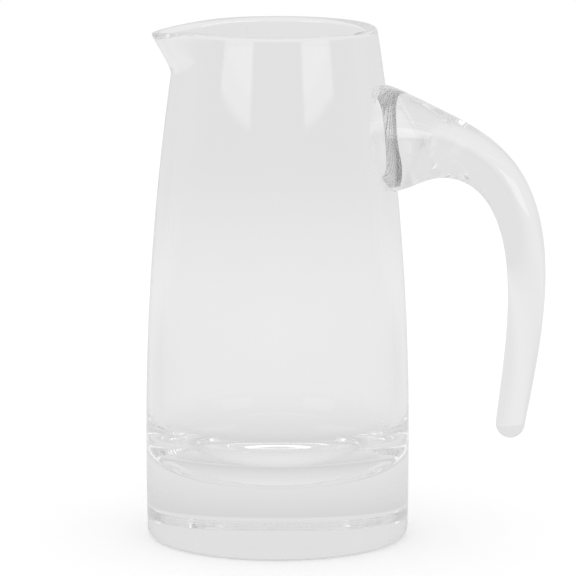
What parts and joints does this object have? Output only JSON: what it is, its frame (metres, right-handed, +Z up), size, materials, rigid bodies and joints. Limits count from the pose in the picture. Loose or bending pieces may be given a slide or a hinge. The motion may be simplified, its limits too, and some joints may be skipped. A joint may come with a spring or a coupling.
{
  "type": "beer pitcher",
  "caption": "Clear glass beer pitcher: a tapering jug with a heavy solid base and a pulled pouring lip, and a solid glass handle fused to the wall at its flared root and free below.",
  "frame": {"origin": "centre of the base, on the plane that the pitcher stands on", "axes": "+Z up along the jug's axis, +X towards the handle, so that the lip points along -X"},
  "size_m": [0.1565, 0.103, 0.2],
  "materials": {
    "clear_glass": "clear, fire-polished, smooth"
  },
  "bodies": {
    "root": {"jug": "clear_glass", "handle": "clear_glass"}
  },
  "joints": []
}
